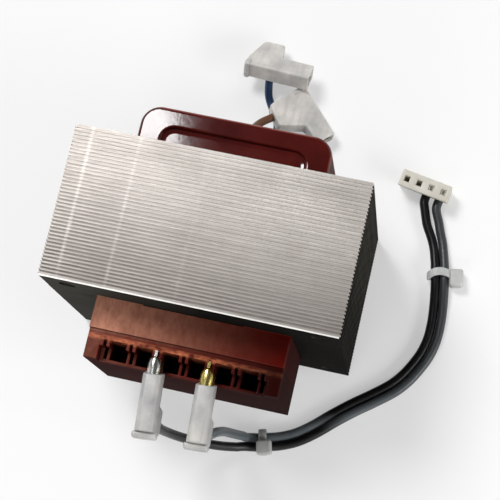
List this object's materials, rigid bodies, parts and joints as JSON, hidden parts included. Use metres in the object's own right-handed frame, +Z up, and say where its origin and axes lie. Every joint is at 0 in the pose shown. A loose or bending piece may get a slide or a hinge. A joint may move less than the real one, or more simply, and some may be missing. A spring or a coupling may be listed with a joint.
{
  "type": "mains transformer",
  "caption": "Laminated mains transformer on an EI core, with brown coil shrouds, a terminal row with push-on flag terminals, and loose leads ending in a plug.",
  "frame": {"origin": "centre of the core's bottom face, on which it stands", "axes": "+X along the core's width, +Y from the terminal row to the rear shroud, +Z up"},
  "size_m": [0.1116, 0.1348, 0.07],
  "materials": {
    "core_steel": "bare sheared sheet edges, satin",
    "former_nylon": "matt",
    "copper": "enamelled copper wire, satin",
    "insulation": "matt",
    "shroud_brown": "glossy dark red-brown moulding",
    "tinned_metal": "bright tin plate",
    "brass_metal": "bright bare brass",
    "cover_nylon": "milky translucent nylon",
    "black_pvc": "satin black",
    "tie_nylon": "milky nylon",
    "plug_nylon": "off-white, satin",
    "brown_pvc": "satin brown",
    "blue_pvc": "satin blue"
  },
  "bodies": {
    "root": {"e_laminations": "core_steel", "i_laminations": "core_steel", "coil_former": "former_nylon", "primary_winding": "copper", "winding_barrier": "insulation", "secondary_winding": "copper", "outer_wrap": "insulation", "front_shroud": "shroud_brown", "rear_shroud": "shroud_brown", "left_tab": "tinned_metal", "right_tab": "brass_metal", "left_receptacle": "tinned_metal", "right_receptacle": "brass_metal", "left_cover": "cover_nylon", "right_cover": "cover_nylon", "left_lead": "black_pvc", "right_lead": "black_pvc", "front_tie": "tie_nylon", "side_tie": "tie_nylon", "plug_housing": "plug_nylon", "plug_contacts": "tinned_metal", "brown_receptacle": "tinned_metal", "brown_cover": "cover_nylon", "brown_lead": "brown_pvc", "blue_receptacle": "tinned_metal", "blue_cover": "cover_nylon", "blue_lead": "blue_pvc"}
  },
  "joints": []
}
